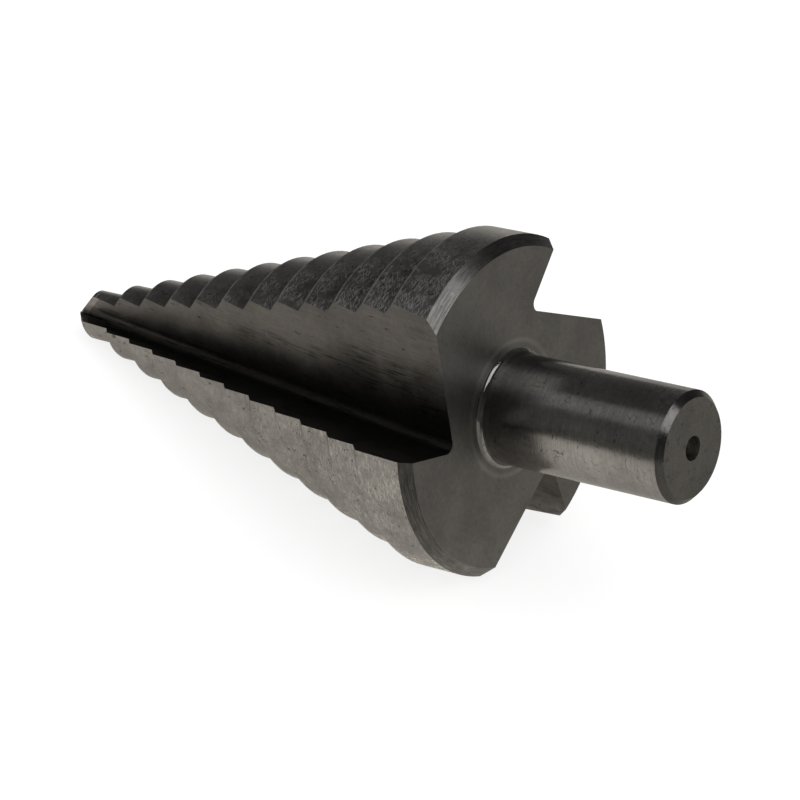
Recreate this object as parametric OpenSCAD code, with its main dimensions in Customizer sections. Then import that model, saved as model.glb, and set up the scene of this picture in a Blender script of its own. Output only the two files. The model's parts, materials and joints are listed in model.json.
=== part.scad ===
// Step drill for sheet metal, ground from one bar.
// Each step is a land behind a cone shoulder. Straight flutes part the steps into lobes.
// Lengths are in millimetres. The drill lies on its cone as it comes to rest.

/* [Steps] */
// Number of steps
step_count = 12; // [9:1:13]
// Diameter of the first step
first_dia = 6; // [5:0.5:8]
// Diameter that each step adds
dia_rise = 3; // [2.5:0.25:3.5]
// Length of the first step
first_len = 5.5; // [5:0.25:8]
// Length of each step between the first and the last
step_pitch = 5; // [4.5:0.25:7]
// Length from the last front corner to the back face
last_len = 7; // [5:0.5:10]
// Angle between a shoulder and the axis
shoulder_ang = 45; // [40:1:55]
// Angle of the drill point, measured across it
point_ang = 86; // [78:1:118]
// Set-over of the point's and the shoulders' cones, which backs them off behind each lip
relief = 0.6; // [0.2:0.1:0.8]
// Chamfer round the back face
back_chamfer = 1.2; // [0.5:0.1:2]

/* [Flutes] */
// Number of flutes
flute_count = 3; // [2:1:4]
// Depth of a flute at the back face
flute_depth = 8.4; // [6:0.2:9]
// Radius of the core that is left at the point
point_core = 0.2; // [0.15:0.05:0.5]
// Rake, by which a cutting face leans in from the radius
rake_ang = 9.25; // [4:0.25:12]
// Turn of the trailing wall from square to the lip
trail_ang = 9.25; // [4:0.25:14]
// Radius along the root of a flute
root_radius = 1; // [0.6:0.1:1.4]

/* [Shank] */
// Diameter of the shank
shank_dia = 12.7; // [10:0.1:13]
// Length of the shank
shank_len = 24; // [20:0.5:40]
// Fillet where the shank meets the back face
shank_fillet = 0.7; // [0.4:0.1:1.5]
// Chamfer at the end of the shank
shank_chamfer = 0.7; // [0.3:0.1:1.5]
// Diameter of the centre hole
centre_dia = 2.8; // [2:0.1:4]
// Depth of the full diameter of the centre hole
centre_depth = 6; // [3:0.5:10]
// Angle of the cone at the bottom of the centre hole
centre_ang = 118; // [90:1:120]

/* [Hidden] */
$fn = 96;

// Overlap of solids that are joined, and overrun of cutters
lap = 0.4;
overrun = 5;

// The web joins the lobes. It is a cone this many times as wide as the core, and the flutes cut it to size.
web_share = 1.25;
// Length by which the web stands out at the middle of the point
web_lead = 0.05;
// Angle by which a lobe is first made to reach ahead of its lip, into the flute
lip_lead = 3;
// Depth to which the round root of a flute bites into its walls
root_bite = 0.02;

function step_r(k) = (first_dia + k * dia_rise) / 2;
function cone_r(k) = norm([step_r(k), relief]);
function front_z(k) =
    k == 0 ? front_z(1) - first_len : -last_len - (step_count - 1 - k) * step_pitch;

last_r = step_r(step_count - 1);
last_z = front_z(step_count - 1);
shank_r = shank_dia / 2;
shoulder_len = dia_rise / 2 / tan(shoulder_ang);
point_len = cone_r(0) / tan(point_ang / 2);
tip_z = front_z(0) - (cone_r(0) - relief) / tan(point_ang / 2);

// The lips lie on a line that climbs one half rise in each pitch.
lip_slope = dia_rise / 2 / step_pitch;
core_r = last_r - flute_depth;
core_slope = (core_r - point_core) / -tip_z;
function core_at(z) = core_r + core_slope * z;

function unit(v) = v / norm(v);
function polar(r, a) = [r * cos(a), r * sin(a)];

// Walls of the flute ahead of the lip at angle 0
rake_trace = [cos(rake_ang), -sin(rake_ang), 0];
rake_normal = unit(cross([lip_slope, 0, 1], rake_trace));
trail_normal = unit([cos(trail_ang), sin(trail_ang), -core_slope]);

// The root runs where the two walls meet. Its place is worked out on the back face.
root_dir = unit(cross(trail_normal, rake_normal));
lip_at_back = last_r - lip_slope * last_z;
root_reach = (core_r - lip_at_back * cos(trail_ang)) / cos(rake_ang + trail_ang);
root_at_back = [lip_at_back, 0, 0] + root_reach * rake_trace;
root_lean = acos(root_dir.z);
root_turn = atan2(root_dir.y, root_dir.x);
root_x = [cos(root_lean) * cos(root_turn), cos(root_lean) * sin(root_turn), -sin(root_lean)];
root_y = [-sin(root_turn), cos(root_turn), 0];
function root_angle(v) = atan2(v * root_y, v * root_x);
rake_angle = root_angle(cross(rake_normal, root_dir));
trail_angle = root_angle(cross(trail_normal, root_dir));
half_vee = (rake_angle - trail_angle) / 2;
mid_vee = (rake_angle + trail_angle) / 2;

// A lobe runs from its lip back to its heel. The trailing wall of the next flute cuts the heel.
lobe_pitch = 360 / flute_count;
function heel_at(z) = trail_ang - acos(core_at(z) / last_r);
function set_back(a) =
    (norm(polar(last_r, a) + [0, relief]) - cone_r(step_count - 1)) / tan(shoulder_ang);
heel_z = last_z + set_back(lobe_pitch + heel_at(last_z));
heel_ang = heel_at(heel_z);

// It rests on a lip and on the last heel across the flute ahead of it. The plane of these is the floor.
// Along the lip it touches at the last corner, and at the first one where the first step is the longer.
lip_point = [last_r, 0, last_z];
heel_point = concat(polar(last_r, heel_ang), heel_z);
rest_slope = min(lip_slope, (last_r - step_r(0)) / (last_z - front_z(0)));
rest_down = unit(cross([rest_slope, 0, 1], heel_point - lip_point));
rest_tilt = -asin(rest_down.z);
rest_roll = atan2(rest_down.y, rest_down.x);
rest_height = lip_point * rest_down;

// The resting drill reaches from its point to the end face of the shank.
end_reach = shank_len * cos(rest_tilt) + (shank_r - shank_chamfer) * sin(rest_tilt);
tip_reach = tip_z * cos(rest_tilt);
rest_middle = (end_reach + tip_reach) / 2;

// One land with the shoulder before it, whose cone is set over from the axis. On the first step that cone
// is the point.
module step_solid(k) {
    first = k == 0;
    last = k == step_count - 1;
    half_ang = first ? point_ang / 2 : shoulder_ang;
    nose = first ? point_len : shoulder_len + lap;
    end_z = last ? 0 : front_z(k + 1) + lap;
    intersection() {
        rotate_extrude() land_profile(step_r(k), front_z(k) - nose, end_z, last ? back_chamfer : 0);
        translate([0, -relief, front_z(k)])
            rotate_extrude() cone_profile(cone_r(k), nose, half_ang, end_z - front_z(k) + lap);
    }
}

module land_profile(r, low, high, chamfer) {
    polygon([[0, low], [r, low], [r, high - chamfer], [r - chamfer, high], [0, high]]);
}

module cone_profile(r, nose, half_ang, high) {
    low_r = max(r - nose * tan(half_ang), 0);
    grow = lap + 2 * relief;
    polygon([[0, -nose], [low_r, -nose], [r + grow, grow / tan(half_ang)], [r + grow, high], [0, high]]);
}

// The room that one lobe may fill, from just ahead of its lip to well behind its heel
module lobe_sector() {
    far = 2 * last_r;
    span = lobe_pitch + heel_ang / 4 + lip_lead;
    translate([0, 0, tip_z - overrun])
        linear_extrude(2 * overrun - tip_z)
            polygon([[0, 0], for (i = [0:4]) polar(far, i * span / 4 - lip_lead)]);
}

// Section of a flute, square to its root: a vee with a round corner, which bites into both walls a little
module vee_section() {
    far = 2 * last_r;
    inset = root_radius - root_bite;
    centre = polar(inset / sin(half_vee), mid_vee);
    foot = inset / tan(half_vee);
    union() {
        polygon([
            polar(foot, trail_angle), polar(far, trail_angle),
            polar(far, rake_angle), polar(foot, rake_angle), centre
        ]);
        translate(centre) circle(root_radius);
    }
}

module flute() {
    back = tip_z / cos(root_lean) - overrun;
    translate(root_at_back)
        rotate([0, root_lean, root_turn])
            translate([0, 0, back])
                linear_extrude(overrun + last_r - back) vee_section();
}

module lobe() {
    intersection() {
        union() for (k = [0:step_count - 1]) step_solid(k);
        lobe_sector();
    }
}

// The web tapers from the back face to the point, where it ends in a small cone of its own.
module web() {
    nose_r = web_share * point_core;
    nose_z = tip_z - web_lead;
    rotate_extrude()
        polygon([[0, nose_z], [nose_r, nose_z + nose_r / tan(point_ang / 2)], [web_share * core_r, 0], [0, 0]]);
}

module shank() {
    rotate_extrude() shank_profile();
}

module shank_profile() {
    ring_r = shank_r + shank_fillet;
    difference() {
        polygon([
            [0, -lap], [ring_r, -lap], [ring_r, shank_fillet], [shank_r, shank_fillet],
            [shank_r, shank_len - shank_chamfer], [shank_r - shank_chamfer, shank_len], [0, shank_len]
        ]);
        translate([ring_r, shank_fillet]) circle(shank_fillet);
    }
}

module centre_hole() {
    r = centre_dia / 2;
    bottom = shank_len - centre_depth;
    cone_len = r / tan(centre_ang / 2);
    translate([0, 0, bottom]) cylinder(h = centre_depth + overrun, r = r);
    translate([0, 0, bottom - cone_len]) cylinder(h = cone_len, r1 = 0, r2 = r);
}

// The drill about its own axis. The point is below, the back face is at z = 0 and the shank is above.
module drill() {
    difference() {
        union() {
            web();
            shank();
            for (i = [0:flute_count - 1]) rotate(i * lobe_pitch) lobe();
        }
        for (i = [0:flute_count - 1]) rotate(i * lobe_pitch) flute();
        centre_hole();
    }
}

module drill_body() {
    color([0.5, 0.48, 0.46])
        translate([-rest_middle, 0, rest_height])
            rotate([0, 90 - rest_tilt, 0])
                rotate(-rest_roll)
                    drill();
}

drill_body();
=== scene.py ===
import json
from math import cos, radians, sin, tan

import bpy
from mathutils import Matrix, Vector


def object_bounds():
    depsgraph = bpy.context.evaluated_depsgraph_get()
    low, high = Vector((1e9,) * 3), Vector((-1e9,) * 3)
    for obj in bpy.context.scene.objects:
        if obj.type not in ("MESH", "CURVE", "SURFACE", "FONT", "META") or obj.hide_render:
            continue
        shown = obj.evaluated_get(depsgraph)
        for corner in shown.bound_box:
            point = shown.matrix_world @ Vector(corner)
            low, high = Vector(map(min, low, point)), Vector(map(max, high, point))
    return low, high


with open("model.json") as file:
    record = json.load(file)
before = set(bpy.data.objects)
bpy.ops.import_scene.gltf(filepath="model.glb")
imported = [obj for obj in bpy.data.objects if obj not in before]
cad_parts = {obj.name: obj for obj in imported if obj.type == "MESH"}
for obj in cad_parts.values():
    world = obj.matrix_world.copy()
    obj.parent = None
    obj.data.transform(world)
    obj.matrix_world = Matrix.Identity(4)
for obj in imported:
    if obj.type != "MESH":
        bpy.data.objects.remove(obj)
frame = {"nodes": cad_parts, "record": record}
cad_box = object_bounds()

# A step drill of bright ground steel, lying on a white table.
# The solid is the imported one. This file gives it its finish, the light and the camera.
# Sizes that belong to the drill are in millimetres. The scene itself is in metres.

MM = 0.001

# Size of the drill, about its own axis: the back face is at 0, the point below it and the shank above
LAST_R = 19.5
SHANK_R = 6.35
SHANK_LEN = 24.0
SHANK_CHAMFER = 0.7
FILLET_R = 0.7
HOLE_R = 1.4
TIP_LEN = 65.0
STEP_PITCH = 5.0
LAST_LEN = 7.0
# Each flute is followed by a lobe, and together they fill this angle.
LOBE_PITCH = radians(120)
# Set-over of the shoulders' cones, which moves a front corner back along the lobe
RELIEF = 0.6
# Half of the angle of the point
HALF_POINT = radians(43)
# Distance ahead of the point where a line through the middles of the lands meets the axis
LANDS_LEAD = 4.0
# Turn of the lip that is nearest the floor, from straight down
LIP_TURN = radians(25.43)
# Lean of the root of a flute from the axis, along the lip and square to it
ROOT_LEAN = (0.166, 0.026)
# Place of that root on the back face, in the frame of the first lip
ROOT_PLACE = (10.96, 1.73)
# Angle at which the third of the drill that holds the first flute begins
FOLD_FROM = radians(-88)
# Distance from the back face to the middle of the shank's mount, along the axis
MOUNT_Z = 12.0

# Camera
CAM_AZIMUTH = radians(33.294)
CAM_ELEVATION = radians(32.844)
CAM_ROLL = radians(7.96)
CAM_DISTANCE = 396.0
CAM_TARGET = (8.82, -7.18, 18.0)
CAM_LENS = 159.64
CAM_SENSOR = 36.0
CAM_NEAREST = 10.0

# Colour of the steel, and of the steel in the flutes
STEEL_COLOUR = (0.337, 0.326, 0.314)
FLUTE_COLOUR = (0.337, 0.317, 0.3)

# Brightness of each mark, as a share of the steel it lies on
DIRT = 0.45
FLECK = 0.42
PIT = 0.34
HAIRLINE = 0.4
WORKED = 0.85
HATCH = 5.0

# How strongly the grinding lines show on the lands and faces, and elsewhere
LINES_PLAIN = 0.2
LINES_ELSEWHERE = 0.75

# Least and greatest brightness that wide clouds, small mottles and the smears on the lands give
CLOUDS = (0.88, 1.1)
MOTTLES = (0.9, 1.1)
SMEARS = (0.94, 1.05)

# Brightness of each place, as a share of plain steel, with painted light and shade in several of them. On the
# chamfers it goes from one value to the other.
# Painted light on the lands of the upper part of a lobe, and painted shade at their back ends
UPPER_LAND_LIGHT = 1.18
SHADE_AT_BACK_OF_UPPER_LAND = 0.63
# Painted shade on the shoulders towards the heel
SHOULDER_SHADE_AT_HEEL = 0.55
# Painted highlight on the worn front corners
WORN_CORNER_HIGHLIGHT = 2.8
FLUTE = 0.51
# Painted shade on the rake face of the open flute, and a painted reflection of the floor in the other two
# flutes
OPEN_RAKE_SHADE = 0.6
FLUTE_FLOOR_REFLECTION = 1.9
# Painted shade round the roots of the flutes
FLUTE_ROOT_SHADE = 0.42
HONED_TIP = 2.0
BACK_FACE = 0.77
END_FACE = 0.47
# Painted light on the wall of the centre hole
HOLE_LIGHT = 2.2
# Along the shank: painted shade next to the fillet, growing brighter towards the end
SHANK_SHADE_AT_FILLET = 0.76
SHANK_END = 1.29
# Painted shade on the chamfer at the shank's end
SHANK_EDGE_SHADE = 0.38
CHAMFERS = (0.45, 0.8)
# Painted shade on the chamfer near the lip
CHAMFER_SHADE_NEAR_LIP = 0.72
# Painted highlights: a bright line on the fillet, and a ring round it on the back face
FILLET_HIGHLIGHT = 1.3
HALO_HIGHLIGHT = 1.35

# Roughness of the bright and the dull places, and what the mottling adds and the polish takes away
ROUGH_BRIGHT = 0.26
ROUGH_DULL = 0.33
ROUGH_MOTTLE = 0.14
SHANK_POLISH = 0.13
FILLET_POLISH = 0.12

# Bump: its strength and depth, and the share of that depth that each mark takes
BUMP_STRENGTH = 0.4
BUMP_DEPTH = 0.02
SHANK_LINES = 0.5
MOTTLE_HEIGHT = 0.4
SCRATCH_DEPTH = 0.6
HATCH_DEPTH = 0.8

# The table mirrors as a pool of light. It ends at the sides and in front of the drill, and runs on behind it.
POOL_CENTRE = (-18.7, -16.4, 0.0)
POOL_ASIDE = (0.836, 0.549, 0.0)
POOL_AWAY = (-0.549, 0.836, 0.0)
POOL_INNER = 38.0
POOL_OUTER = 70.0
POOL_COLOUR = (1.0, 0.955, 0.87)
POOL_LIGHT = 0.68
# Share of the pool that is lit, and keeps the drill's shadow. The same share glows.
POOL_SHARE = 0.5
# Beyond the pool the table is brighter towards this side.
FAR_SIDE = (0.669, 0.743, 0.0)
FAR_REACH = 40.0
FAR_DIM = 0.08
FAR_BRIGHT = 0.34

# To the camera the table is white: it glows by itself, and its lit part shows the shadow.
WHITE = (1.0, 1.0, 1.0)
TABLE_SIZE = 6.0
TABLE_GLOW = 0.8
TABLE_LIT = 0.32

# Light from all round on matt surfaces, and what the steel mirrors: a pale horizon and a dark studio
AMBIENT = 0.75
HORIZON = 0.75
STUDIO_LOW = 0.08
STUDIO_HIGH = 0.04


def set_input(socket, value):
    """Link a socket to a value that is a socket itself, or set it to a constant."""
    if isinstance(value, bpy.types.NodeSocket):
        socket.id_data.links.new(value, socket)
    else:
        socket.default_value = value


class Graph:
    """Short names for the nodes of one tree. add returns its node, the others what comes out of theirs."""

    def __init__(self, tree):
        self.tree = tree
        tree.nodes.clear()

    def add(self, kind, inputs=None, **settings):
        """A node, with its inputs by name or by number."""
        node = self.tree.nodes.new(kind)
        for name, value in settings.items():
            setattr(node, name, value)
        for key, value in (inputs or {}).items():
            set_input(node.inputs[key], value)
        return node

    def math(self, operation, a, b=0.0):
        return self.add("ShaderNodeMath", {0: a, 1: b}, operation=operation).outputs[0]

    def plus(self, a, b):
        return self.math("ADD", a, b)

    def minus(self, a, b):
        return self.math("SUBTRACT", a, b)

    def over(self, a, b):
        return self.math("DIVIDE", a, b)

    def most(self, a, b):
        return self.math("MAXIMUM", a, b)

    def times(self, first, *others):
        """The product. Of masks, it is 1 only where all of them are."""
        out = first
        for other in others:
            out = self.math("MULTIPLY", out, other)
        return out

    def vector(self, operation, a, b):
        return self.add("ShaderNodeVectorMath", {0: a, 1: b}, operation=operation).outputs["Vector"]

    def dot(self, a, b):
        return self.add("ShaderNodeVectorMath", {0: a, 1: b}, operation="DOT_PRODUCT").outputs["Value"]

    def scale(self, vector, factor):
        node = self.add("ShaderNodeVectorMath", {0: vector, "Scale": factor}, operation="SCALE")
        return node.outputs["Vector"]

    def length(self, x, y):
        node = self.add("ShaderNodeVectorMath", {0: self.combine(x, y, 0.0)}, operation="LENGTH")
        return node.outputs["Value"]

    def combine(self, x, y, z):
        return self.add("ShaderNodeCombineXYZ", {0: x, 1: y, 2: z}).outputs[0]

    def split(self, vector):
        return tuple(self.add("ShaderNodeSeparateXYZ", {0: vector}).outputs)

    def turn(self, vector, angle):
        """A vector turned about Z."""
        inputs = {"Vector": vector, "Angle": angle}
        return self.add("ShaderNodeVectorRotate", inputs, rotation_type="Z_AXIS").outputs[0]

    def ramp(self, value, low, high, to_low=0.0, to_high=1.0, smooth=True):
        """to_low where value is at low, to_high where it is at high, and held beyond them."""
        inputs = {"Value": value, "From Min": low, "From Max": high, "To Min": to_low, "To Max": to_high}
        curve = "SMOOTHSTEP" if smooth else "LINEAR"
        return self.add("ShaderNodeMapRange", inputs, interpolation_type=curve).outputs[0]

    def near(self, value, target, reach):
        """1 where value is at target, falling to 0 at reach away from it."""
        away = self.math("ABSOLUTE", self.minus(value, target))
        return self.ramp(away, 0.0, reach, 1.0, 0.0)

    def noise(self, vector, scale, detail, rough):
        inputs = {"Vector": vector, "Scale": scale, "Detail": detail, "Roughness": rough}
        return self.add("ShaderNodeTexNoise", inputs, noise_dimensions="3D").outputs[0]

    def grain(self, across, along, third, fine, long, detail=4.0, rough=0.6):
        """Lines that run along one coordinate: so many to the millimetre across, and along."""
        place = self.combine(self.times(across, fine), self.times(along, long), third)
        return self.noise(place, 1.0, detail, rough)

    def mix(self, factor, a, b):
        """a where the factor is 0, b where it is 1, as numbers."""
        node = self.add("ShaderNodeMix", data_type="FLOAT")
        for socket, value in zip(node.inputs[:1] + node.inputs[2:4], (factor, a, b)):
            set_input(socket, value)
        return node.outputs[0]

    def mix_colours(self, factor, a, b):
        """a where the factor is 0, b where it is 1, as colours."""
        return self.combine(*(self.mix(factor, *pair) for pair in zip(a, b)))


def drill_axes():
    """Origin of the drill's own frame and its three axes, from the mount on its shank."""
    mount = frame["record"]["mounts"][0]
    axis = Vector(mount["axis"]).normalized()
    origin = Vector(mount["pos_m"]) - axis * MOUNT_Z * MM
    side = Vector((0, 1, 0))
    down = side.cross(axis)
    x = down * cos(LIP_TURN) + side * sin(LIP_TURN)
    return origin, x, axis.cross(x), axis


def drill_frame(g):
    """Place and normal in the drill's own frame, in millimetres."""
    origin, *axes = drill_axes()
    coords = g.add("ShaderNodeTexCoord")
    away = g.scale(g.vector("SUBTRACT", coords.outputs["Object"], tuple(origin)), 1 / MM)
    place = g.combine(*(g.dot(away, tuple(axis)) for axis in axes))
    normal = g.combine(*(g.dot(coords.outputs["Normal"], tuple(axis)) for axis in axes))
    return place, normal


class Zones:
    """Places on the drill, as masks from 0 to 1, and the coordinates that the finish follows."""

    def __init__(self, g):
        self.place, self.normal = drill_frame(g)
        x, y, self.z = g.split(self.place)
        nx, ny, self.faces_back = g.split(self.normal)
        self.radius = g.length(x, y)
        self.angle = g.math("ARCTAN2", y, x)
        self.arc = g.times(self.angle, self.radius)
        self.faces_out = g.over(g.plus(g.times(x, nx), g.times(y, ny)), self.radius)

        # The radius that the lands reach at this height, and this place's share of it
        self.reach = g.times(g.plus(self.z, TIP_LEN + LANDS_LEAD), LAST_R / TIP_LEN)
        self.share = g.over(self.radius, self.reach)

        # Ahead of the back face, and behind it
        self.ahead = g.ramp(self.z, -0.02, -0.01, 1.0, 0.0, smooth=False)
        self.behind = g.ramp(self.z, 0.01, 0.03, 0.0, 1.0, smooth=False)

        self.measure_flute(g)
        self.measure_lobe(g)
        self.mark_lobe(g)
        self.mark_flute(g)
        self.mark_shank(g)

    def measure_flute(self, g):
        """Turn a place back to the first flute, whose lip is at angle 0, and measure across that flute."""
        self.index = g.math("FLOOR", g.over(g.minus(self.angle, FOLD_FROM), LOBE_PITCH))
        back = g.times(self.index, -LOBE_PITCH)
        x, y, _ = g.split(g.turn(self.place, back))
        _, self.across_lip, _ = g.split(g.turn(self.normal, back))
        self.from_lip = g.plus(self.angle, back)
        self.u = g.minus(x, g.times(self.z, ROOT_LEAN[0]))
        self.v = g.minus(y, g.times(self.z, ROOT_LEAN[1]))
        from_root = g.length(g.minus(self.u, ROOT_PLACE[0]), g.minus(self.v, ROOT_PLACE[1]))
        self.root_share = g.over(from_root, self.reach)

    def measure_lobe(self, g):
        """Distance behind the front corner of a step, and angle behind the lip of a lobe."""
        lobe = g.math("FLOOR", g.over(self.angle, LOBE_PITCH))
        x, y, _ = g.split(g.turn(self.place, g.times(lobe, -LOBE_PITCH)))
        self.set_back = g.minus(g.length(x, g.plus(y, RELIEF)), g.length(self.radius, RELIEF))
        past_last = g.minus(g.plus(self.z, LAST_LEN), self.set_back)
        steps = g.math("FLOOR", g.over(g.math("MINIMUM", past_last, 0.0), STEP_PITCH))
        self.past_corner = g.minus(past_last, g.times(steps, STEP_PITCH))
        self.past_lip = g.minus(self.angle, g.times(lobe, LOBE_PITCH))
        self.upper = g.ramp(self.past_lip, radians(30), radians(60))
        # All steps but the last
        self.stepped = g.math("LESS_THAN", past_last, 0.0)

    def mark_lobe(self, g):
        """The lands, their back ends with painted shade, the shoulders with painted shade at the heel, the
        chamfer, the heel, and the worn front corners with a painted highlight.
        """
        self.land = g.times(self.ahead, g.ramp(self.share, 0.76, 0.8), g.ramp(self.faces_out, 0.97, 0.99))
        # Painted shade towards the back end of each land but the last, next to the following step's shoulder
        self.land_back_shade = g.times(self.land, self.stepped, g.ramp(self.past_corner, 0.3, 3.6))
        self.shoulder = g.times(self.ahead, g.ramp(self.faces_back, -0.55, -0.65))
        self.chamfer = g.times(self.ahead, g.ramp(self.faces_back, 0.4, 0.6),
                               g.ramp(self.faces_out, 0.5, 0.6))
        near_heel = g.ramp(self.from_lip, radians(-88), radians(-54))
        self.heel = g.times(near_heel, g.ramp(self.from_lip, radians(-20), radians(-30)))

        # The worn front corners get a painted highlight in patches, on both sides of the edge, along the
        # middle of a lobe.
        behind_edge = g.ramp(self.past_corner, 0.26, 0.1)
        ahead_of_edge = g.times(self.stepped, g.ramp(self.past_corner, STEP_PITCH - 0.15, STEP_PITCH - 0.05))
        patches = g.ramp(g.noise(self.place, 0.7, 2.0, 0.6), 0.36, 0.6, 0.25, 1.0)
        middle = g.times(g.ramp(self.past_lip, radians(30), radians(45)),
                         g.ramp(self.past_lip, radians(88), radians(66)))
        self.corner = g.times(self.ahead, g.ramp(self.share, 0.9, 0.93), g.ramp(self.faces_out, 0.55, 0.65),
                              g.most(behind_edge, ahead_of_edge), patches, middle)

    def mark_flute(self, g):
        """The flutes: all, the rake face of the open one with its painted shade, the two that face the floor
        with their painted reflection of it, and the honed tips.
        """
        inner = g.most(g.ramp(self.share, 0.8, 0.76), g.ramp(self.faces_out, 0.93, 0.9))
        self.flute = g.times(self.ahead, inner, g.ramp(g.math("ABSOLUTE", self.faces_back), 0.5, 0.45))
        self.rake = g.times(self.flute, g.ramp(self.across_lip, -0.7, -0.9))

        # The rake face of the flute that lies open to the top takes painted shade, for the dark studio it
        # mirrors. The other two, with index 0 and 1, face the floor and take a painted reflection of it.
        open_up = g.math("GREATER_THAN", g.math("ABSOLUTE", g.minus(self.index, 0.5)), 1.0)
        self.open_rake_shade = g.times(self.rake, open_up)
        self.floor_facing_flutes = g.times(self.flute, g.minus(1.0, open_up))

        # The walls are honed in a narrow band along the cone of the point.
        point_cone = g.over(g.plus(self.radius, self.set_back), tan(HALF_POINT))
        past_point = g.minus(g.plus(self.z, TIP_LEN), point_cone)
        self.honed = g.times(self.flute, g.ramp(past_point, 0.55, 0.35))

    def mark_shank(self, g):
        """The back and end faces, the fillet with its halo, the shank with its edge, and the centre hole."""
        fillet_end = SHANK_R + FILLET_R
        chamfer_start = SHANK_LEN - SHANK_CHAMFER
        self.face = g.ramp(self.faces_back, 0.95, 0.99)
        self.fillet = g.times(self.behind, g.ramp(self.radius, fillet_end + 0.05, fillet_end),
                              g.ramp(self.z, FILLET_R + 0.05, FILLET_R - 0.1))
        self.halo = g.times(self.face, g.near(self.radius, 2 * FILLET_R + SHANK_R, 0.5))
        self.shank = g.times(self.behind, g.ramp(self.radius, SHANK_R + 1.0, SHANK_R + 0.9))
        self.shank_edge = g.times(g.ramp(self.z, chamfer_start - 0.2, chamfer_start),
                                  g.near(self.faces_back, 0.7, 0.35))
        self.hole = g.times(self.behind, g.ramp(self.radius, HOLE_R + 0.06, HOLE_R + 0.02),
                            g.ramp(self.faces_back, 0.9, 0.8))


class Marks:
    """Marks on the steel, as masks or as noise from 0 to 1."""

    def __init__(self, g, zone):
        self.grind(g, zone)
        self.cross(g, zone)
        self.score(g, zone)
        self.stain(g, zone)

    def grind(self, g, zone):
        """Grinding lines: round the lands and the shank, along the flutes, in rings on the faces."""
        turned = g.grain(zone.z, zone.arc, zone.radius, fine=7.0, long=0.3)
        walls = [g.grain(across, zone.z, zone.index, fine=6.0, long=0.16, detail=6.0, rough=0.7)
                 for across in (zone.v, zone.u)]
        rings = g.grain(zone.radius, zone.angle, 3.1, fine=5.0, long=1.4)
        self.lines = g.mix(zone.face, g.mix(zone.flute, turned, g.mix(zone.rake, *walls)), rings)
        self.fine_lines = g.grain(zone.z, zone.arc, zone.radius, fine=11.0, long=0.5, detail=3.0)

    def cross(self, g, zone):
        """Crossed scratches on the lands, thickest towards the heels of the widest steps."""

        def slant(arc_share, z_share):
            """Distance on the skin of a lobe in a direction that leans."""
            return g.plus(g.times(zone.arc, arc_share), g.times(zone.z, z_share))

        rising = slant(0.5, -0.85), slant(0.85, 0.5)
        falling = slant(0.2, 0.98), slant(0.98, -0.2)
        hatch_a = g.ramp(g.grain(*falling, 4.0, fine=8.0, long=0.9, detail=2.0), 0.48, 0.63)
        hatch_b = g.ramp(g.grain(*rising, 9.0, fine=7.0, long=0.85, detail=2.0), 0.52, 0.66)
        patches = g.ramp(g.noise(zone.place, 0.4, 3.0, 0.6), 0.36, 0.56)
        wide = g.ramp(zone.z, -52.0, -2.0, 0.1, 1.0)
        self.worked = g.times(zone.land, g.most(zone.heel, 0.15), wide, patches)
        self.hatch = g.times(g.most(hatch_a, hatch_b), self.worked)
        fleck = g.ramp(g.grain(*rising, 12.0, fine=2.4, long=0.9, detail=2.0), 0.67, 0.72)
        self.fleck = g.times(fleck, zone.land)

    def score(self, g, zone):
        """Dark drawn-out pits in the flutes, and scratches that gather towards the root."""
        pit = g.ramp(g.grain(zone.v, zone.z, 5.0, fine=2.2, long=0.45, detail=2.0, rough=0.5), 0.67, 0.73)
        scratch = g.ramp(g.grain(zone.v, zone.z, 2.0, fine=5.0, long=0.2, detail=3.0), 0.5, 0.62)
        patches = g.ramp(g.grain(zone.v, zone.z, 3.0, fine=0.3, long=0.06, detail=2.0, rough=0.5), 0.42, 0.6)
        scratch = g.times(scratch, patches, g.ramp(zone.root_share, 0.7, 0.4, 0.3, 1.0))
        self.pit = g.times(g.most(pit, scratch), zone.flute)

    def stain(self, g, zone):
        """Cloudiness, smears, stray specks and curved hairlines."""
        self.cloud = g.noise(zone.place, 0.14, 4.0, 0.6)
        self.mottle = g.noise(zone.place, 1.6, 5.0, 0.7)
        self.smear = g.grain(zone.z, zone.arc, zone.radius, fine=1.7, long=0.16, detail=5.0, rough=0.7)
        speck = g.ramp(g.noise(zone.place, 2.0, 3.0, 0.55), 0.66, 0.72)
        self.dirt = g.times(speck, g.mix(zone.land, 0.7, 1.0))

        # A hairline runs where one noise crosses its middle, and shows where another one is high.
        hairline = g.near(g.noise(zone.place, 1.0, 1.0, 0.4), 0.5, 0.02)
        elsewhere = g.vector("ADD", zone.place, (7.0, 3.0, 5.0))
        shown = g.ramp(g.noise(elsewhere, 0.8, 1.0, 0.5), 0.54, 0.57)
        self.hairline = g.times(hairline, shown, g.most(zone.shank, zone.land))


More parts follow.
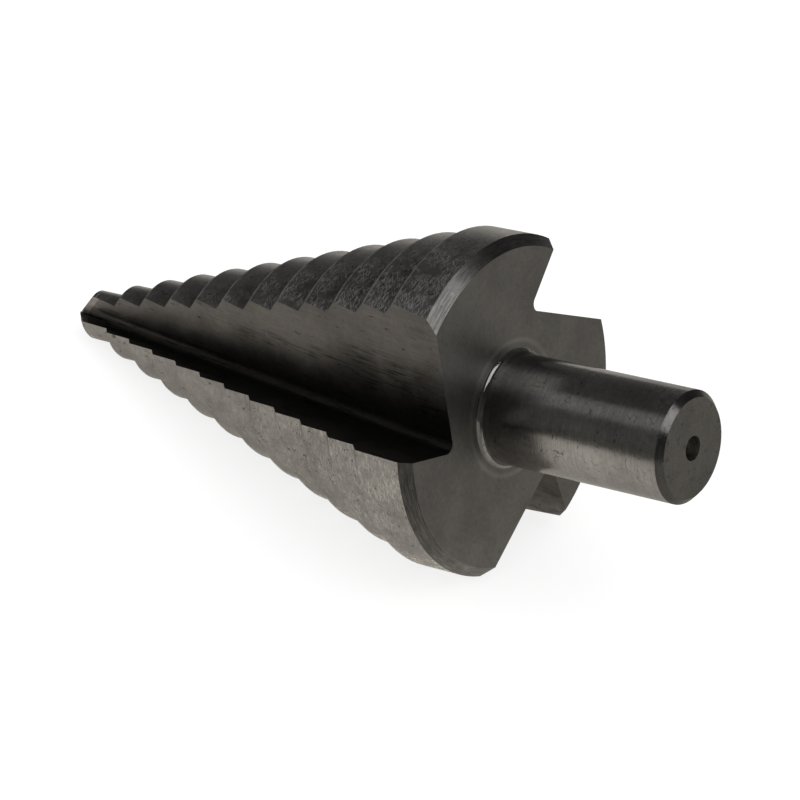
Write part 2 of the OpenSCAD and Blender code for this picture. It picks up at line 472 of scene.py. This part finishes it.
def steel_light(g, zone, marks):
    """Brightness of the steel, with painted light and shade in several places. Each mark and each place
    multiplies it by its own factor.
    """
    plain = g.most(zone.land, zone.face)
    light = g.plus(1.0, g.times(g.mix(plain, LINES_ELSEWHERE, LINES_PLAIN), g.minus(marks.lines, 0.5)))
    light = g.times(light, g.ramp(marks.cloud, 0.35, 0.65, *CLOUDS), g.ramp(marks.mottle, 0.3, 0.7, *MOTTLES))

    # Painted shade in a flute lies round its root, and reaches higher up the walls near the point.
    stray = g.plus(zone.root_share, g.times(0.5, g.minus(marks.cloud, 0.5)))
    root_shade_end = g.ramp(zone.z, -58.0, -18.0, 1.0, 0.6)
    root_shade = g.ramp(stray, g.times(root_shade_end, 0.3), root_shade_end, FLUTE_ROOT_SHADE, 1.0)

    factors = (
        (marks.dirt, DIRT),
        (marks.fleck, FLECK),
        (marks.pit, PIT),
        (marks.hairline, HAIRLINE),
        (marks.worked, WORKED),
        (marks.hatch, HATCH),
        (zone.land, g.ramp(marks.smear, 0.35, 0.65, *SMEARS)),
        # Painted light on the upper lands, and painted shade at their back ends
        (g.times(zone.land, zone.upper), UPPER_LAND_LIGHT),
        (zone.land_back_shade, g.mix(zone.upper, 1.0, SHADE_AT_BACK_OF_UPPER_LAND)),
        # Painted shade on the shoulders towards the heel
        (zone.shoulder, g.mix(zone.heel, 1.0, SHOULDER_SHADE_AT_HEEL)),
        # Painted highlight on the worn front corners
        (zone.corner, WORN_CORNER_HIGHLIGHT),
        (zone.chamfer, g.ramp(marks.fine_lines, 0.35, 0.65, *CHAMFERS)),
        # Painted shade on the chamfer near the lip
        (zone.chamfer, g.mix(zone.upper, CHAMFER_SHADE_NEAR_LIP, 1.0)),
        (zone.flute, FLUTE),
        # Painted shade round the root of each flute
        (zone.flute, root_shade),
        # Painted shade on the open rake face, and a painted reflection of the floor in the other two flutes
        (zone.open_rake_shade, OPEN_RAKE_SHADE),
        (zone.floor_facing_flutes, FLUTE_FLOOR_REFLECTION),
        (zone.honed, HONED_TIP),
        (zone.face, g.ramp(zone.z, SHANK_LEN - 4.0, SHANK_LEN - 3.0, BACK_FACE, END_FACE)),
        # Painted highlights on the fillet and in a ring round it
        (zone.halo, HALO_HIGHLIGHT),
        (zone.fillet, FILLET_HIGHLIGHT),
        # Painted shade on the shank next to the fillet, growing brighter towards the end
        (zone.shank, g.ramp(zone.z, 1.0, 9.0, SHANK_SHADE_AT_FILLET, SHANK_END)),
        # Painted shade on the chamfer at the shank's end
        (zone.shank_edge, SHANK_EDGE_SHADE),
        # Painted light on the wall of the centre hole
        (zone.hole, HOLE_LIGHT),
    )
    for mask, factor in factors:
        light = g.times(light, g.mix(mask, 1.0, factor))
    return light


def steel_roughness(g, zone, marks):
    """Roughness of the steel. The shank and its fillet are the smoothest."""
    dull = g.most(zone.flute, zone.face)
    rough = g.plus(g.mix(dull, ROUGH_BRIGHT, ROUGH_DULL), g.times(ROUGH_MOTTLE, marks.mottle))
    rough = g.minus(rough, g.times(SHANK_POLISH, zone.shank))
    return g.minus(rough, g.times(FILLET_POLISH, zone.fillet))


def steel_bump(g, zone, marks):
    """Normals bent by the grinding lines, the mottling, and the scratches and pits that are cut into them."""
    lines = g.times(marks.lines, g.mix(zone.shank, 1.0, SHANK_LINES))
    height = g.plus(lines, g.times(marks.mottle, MOTTLE_HEIGHT))
    height = g.minus(height, g.times(g.most(marks.hairline, marks.pit), SCRATCH_DEPTH))
    height = g.minus(height, g.times(marks.hatch, HATCH_DEPTH))
    inputs = {"Strength": BUMP_STRENGTH, "Distance": BUMP_DEPTH * MM, "Height": height}
    return g.add("ShaderNodeBump", inputs).outputs[0]


def new_material(name):
    """A material and the graph of its nodes."""
    material = bpy.data.materials.new(name)
    material.use_nodes = True
    return material, Graph(material.node_tree)


def steel_material():
    """Ground steel. The lands and the shank are bright, the flutes and the faces are dull and darker."""
    material, g = new_material("ground_steel")
    zone = Zones(g)
    marks = Marks(g, zone)
    colour = g.mix_colours(zone.flute, STEEL_COLOUR, FLUTE_COLOUR)
    shader = g.add("ShaderNodeBsdfPrincipled", {
        "Base Color": g.scale(colour, steel_light(g, zone, marks)),
        "Metallic": 1.0,
        "Roughness": steel_roughness(g, zone, marks),
        "Normal": steel_bump(g, zone, marks),
    })
    g.add("ShaderNodeOutputMaterial", {"Surface": shader.outputs[0]})
    return material


def dress_drill():
    """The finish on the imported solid."""
    drill = frame["nodes"]["drill_body"]
    drill.data.materials.clear()
    drill.data.materials.append(steel_material())


def studio_world():
    """White to the camera. In the steel it mirrors as a horizon behind the drill and a dark studio above."""
    world = bpy.data.worlds.new("studio")
    bpy.context.scene.world = world
    world.use_nodes = True
    g = Graph(world.node_tree)
    toward = g.add("ShaderNodeTexCoord").outputs["Generated"]
    _, _, rise = g.split(toward)
    horizon = g.ramp(g.dot(toward, POOL_AWAY), -0.1, 0.5, 0.0, HORIZON)
    studio = g.ramp(rise, 0.1, 0.6, STUDIO_LOW, STUDIO_HIGH)
    mirrored = g.plus(g.ramp(rise, -0.05, 0.05, horizon, 0.0), studio)
    rays = g.add("ShaderNodeLightPath").outputs
    mirrors = g.most(rays["Is Glossy Ray"], rays["Is Transmission Ray"])
    strength = g.mix(rays["Is Camera Ray"], g.mix(mirrors, AMBIENT, mirrored), 1.0)
    back = g.add("ShaderNodeBackground", {"Color": (*WHITE, 1.0), "Strength": strength})
    g.add("ShaderNodeOutputWorld", {"Surface": back.outputs[0]})


def table_material():
    """White to the camera. In the steel it mirrors as a warm pool of light round the drill."""
    material, g = new_material("table_white")
    coords = g.add("ShaderNodeTexCoord")
    place = g.vector("SUBTRACT", g.scale(coords.outputs["Object"], 1 / MM), POOL_CENTRE)
    in_front = g.math("MINIMUM", g.dot(place, POOL_AWAY), 0.0)
    away = g.length(g.dot(place, POOL_ASIDE), in_front)
    far = g.ramp(g.dot(place, FAR_SIDE), 0.0, FAR_REACH, FAR_DIM, FAR_BRIGHT)
    pool = g.times(g.ramp(away, POOL_INNER, POOL_OUTER, POOL_LIGHT, far), POOL_SHARE)

    rays = g.add("ShaderNodeLightPath").outputs
    seen = rays["Is Camera Ray"]
    mirrors = rays["Is Glossy Ray"]
    colour = g.mix_colours(mirrors, WHITE, POOL_COLOUR)
    lit = g.mix(mirrors, g.mix(seen, 1.0, TABLE_LIT), pool)
    glow = g.plus(g.times(seen, TABLE_GLOW), g.times(mirrors, pool))
    shaders = (g.add("ShaderNodeBsdfDiffuse", {"Color": g.scale(colour, lit)}),
               g.add("ShaderNodeEmission", {"Color": colour, "Strength": glow}))
    both = g.add("ShaderNodeAddShader", {i: shader.outputs[0] for i, shader in enumerate(shaders)})
    g.add("ShaderNodeOutputMaterial", {"Surface": both.outputs[0]})
    return material


def table():
    """The floor that the drill lies on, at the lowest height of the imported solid."""
    bpy.ops.mesh.primitive_plane_add(size=TABLE_SIZE, location=(0, 0, cad_box[0][2]))
    plane = bpy.context.object
    plane.name = "table"
    plane.data.materials.append(table_material())


def softbox(name, direction, distance, width, height, power):
    """A soft light that looks at the drill from a direction, in metres and watts."""
    data = bpy.data.lights.new(name, "AREA")
    data.shape = "RECTANGLE"
    data.size = width
    data.size_y = height
    data.energy = power
    lamp = bpy.data.objects.new(name, data)
    bpy.context.scene.collection.objects.link(lamp)
    toward = Vector(direction).normalized()
    lamp.location = toward * distance
    lamp.rotation_euler = toward.to_track_quat("Z", "Y").to_euler()


def camera():
    """The photograph's view."""
    data = bpy.data.cameras.new("camera")
    data.lens = CAM_LENS
    data.sensor_width = CAM_SENSOR
    data.clip_start = CAM_NEAREST * MM
    turn = (Matrix.Rotation(CAM_AZIMUTH, 4, "Z")
            @ Matrix.Rotation(radians(90) - CAM_ELEVATION, 4, "X")
            @ Matrix.Rotation(CAM_ROLL, 4, "Z"))
    back = turn @ Vector((0, 0, CAM_DISTANCE * MM))
    cam = bpy.data.objects.new("camera", data)
    cam.matrix_world = Matrix.Translation(Vector(CAM_TARGET) * MM + back) @ turn
    bpy.context.scene.collection.objects.link(cam)
    bpy.context.scene.camera = cam


dress_drill()
studio_world()
table()
softbox("key", direction=(0.5, 0.0, 0.86), distance=0.9, width=0.6, height=0.6, power=1.4)
softbox("fill", direction=(-0.64, -0.46, 0.62), distance=1.2, width=0.9, height=0.35, power=0.16)
camera()
bpy.context.scene.view_settings.view_transform = "Standard"
